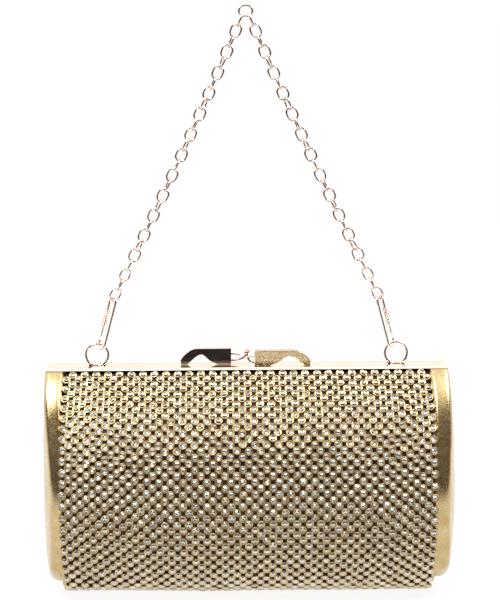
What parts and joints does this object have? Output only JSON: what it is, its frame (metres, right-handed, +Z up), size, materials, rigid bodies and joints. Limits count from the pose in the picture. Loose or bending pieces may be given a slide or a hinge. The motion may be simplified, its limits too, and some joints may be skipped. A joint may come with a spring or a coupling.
{
  "type": "evening bag",
  "caption": "Small kiss-lock frame purse with a crystal mesh skin, gold leather ends, an arched clasp and a link chain handle on snap hooks.",
  "frame": {"origin": "middle of the flat base, on the surface that the bag stands on", "axes": "+Z up towards the frame and chain, +X along the frame to the right seen from the front, the front faces -Y"},
  "size_m": [0.166, 0.066, 0.2336],
  "materials": {
    "crystal_mesh": "faceted crystals in pale gold cups, dense brown-gold gaps",
    "gold_leather": "metallic gold foil, satin, fine grain",
    "lining": "satin cloth",
    "board": "matte fibre board",
    "frame_gold": "mirror-polished pale gold plate",
    "chain_gold": "polished pale rose-gold plate"
  },
  "bodies": {
    "bag_body": {"lower_mesh": "crystal_mesh", "lower_wrap": "gold_leather", "lower_lining": "lining", "left_gusset_lower": "gold_leather", "right_gusset_lower": "gold_leather", "base_board": "board", "left_hinge_rivet": "frame_gold", "right_hinge_rivet": "frame_gold"},
    "front_frame": {"front_rail": "frame_gold", "left_front_arm": "frame_gold", "right_front_arm": "frame_gold", "front_clasp_wing": "frame_gold", "front_clasp_finger": "frame_gold", "front_mesh": "crystal_mesh", "front_wrap": "gold_leather", "front_lining": "lining", "left_gusset_front": "gold_leather", "right_gusset_front": "gold_leather"},
    "back_frame": {"back_rail": "frame_gold", "left_back_arm": "frame_gold", "right_back_arm": "frame_gold", "back_clasp_wing": "frame_gold", "back_clasp_finger": "frame_gold", "back_mesh": "crystal_mesh", "back_wrap": "gold_leather", "back_lining": "lining", "left_gusset_back": "gold_leather", "right_gusset_back": "gold_leather", "left_ring_lug": "frame_gold", "right_ring_lug": "frame_gold"},
    "left_ring": {"left_ring": "chain_gold"},
    "right_ring": {"right_ring": "chain_gold"},
    "chain": {"left_hook": "chain_gold", "right_hook": "chain_gold", "left_hook_spring": "chain_gold", "right_hook_spring": "chain_gold", "chain_left": "chain_gold", "chain_right": "chain_gold", "chain_top_link": "chain_gold"},
    "left_gate": {"left_hook_gate": "chain_gold"},
    "right_gate": {"right_hook_gate": "chain_gold"}
  },
  "joints": [
    {"name": "front_frame_open", "type": "hinge", "parent": "bag_body", "child": "front_frame", "pos_m": [0, 0, 0.046], "axis": [1, 0, 0], "range_deg": [0, 25], "deforming": ["front_mesh", "front_wrap", "front_lining", "left_gusset_front", "right_gusset_front"]},
    {"name": "back_frame_open", "type": "hinge", "parent": "bag_body", "child": "back_frame", "pos_m": [0, 0, 0.046], "axis": [1, 0, 0], "range_deg": [-25, 0], "deforming": ["back_mesh", "back_wrap", "back_lining", "left_gusset_back", "right_gusset_back"]},
    {"name": "left_ring_swing", "type": "hinge", "parent": "back_frame", "child": "left_ring", "pos_m": [-0.0605, 0.00095, 0.0907], "axis": [1, 0, 0], "range_deg": [-40, 40]},
    {"name": "right_ring_swing", "type": "hinge", "parent": "back_frame", "child": "right_ring", "pos_m": [0.0605, 0.00095, 0.0907], "axis": [1, 0, 0], "range_deg": [-40, 40]},
    {"name": "chain_swing", "type": "hinge", "parent": "left_ring", "child": "chain", "pos_m": [-0.05805, 0.00095, 0.09897], "axis": [1, 0, 0], "range_deg": [-40, 40]},
    {"name": "left_gate_open", "type": "hinge", "parent": "chain", "child": "left_gate", "pos_m": [-0.058, 0.00286, 0.10603], "axis": [-0.8008, -0.5592, 0.2146], "range_deg": [0, 18], "stiffness_Nm_per_rad": 0.0005},
    {"name": "right_gate_open", "type": "hinge", "parent": "chain", "child": "right_gate", "pos_m": [0.058, 0.00286, 0.10603], "axis": [-0.8008, 0.5592, -0.2146], "range_deg": [0, 18], "stiffness_Nm_per_rad": 0.0005}
  ],
  "couplings": [
    {"joint": "back_frame_open", "follows": "front_frame_open", "ratio": -1},
    {"joint": "right_ring_swing", "follows": "left_ring_swing", "ratio": 1}
  ]
}
